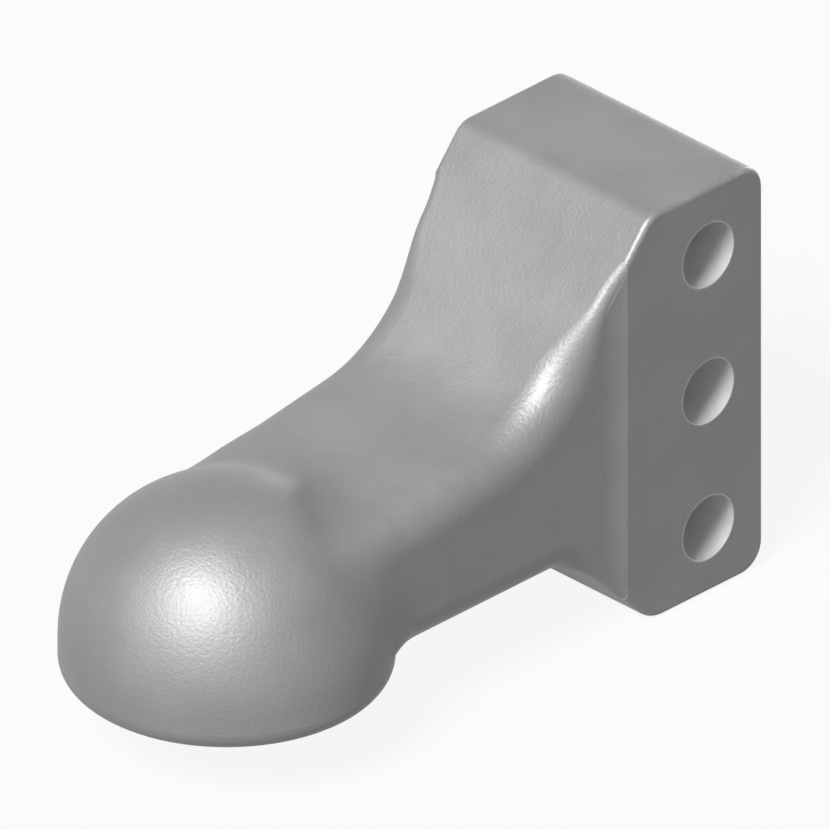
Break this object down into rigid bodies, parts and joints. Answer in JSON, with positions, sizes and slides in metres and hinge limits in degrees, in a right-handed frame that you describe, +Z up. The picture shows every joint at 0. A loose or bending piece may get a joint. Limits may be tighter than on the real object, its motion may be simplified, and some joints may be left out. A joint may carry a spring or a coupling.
{
  "type": "ball coupling head",
  "caption": "Domed coupling head, open underneath to drop over a coupling ball, on a rounded gooseneck that rises into a tall bolt-on block with a column of cross bores.",
  "frame": {"origin": "centre of the coupling ball that the dome seats on", "axes": "+Z up, -Y towards the ball end, +Y along the neck to the block, X along the cross bores"},
  "size_m": [0.118, 0.2763, 0.1632],
  "materials": {
    "forged_steel": "satin grey coat over a steel forging, with machined bores and ball socket"
  },
  "bodies": {
    "root": {"coupling_head": "forged_steel"}
  },
  "joints": []
}
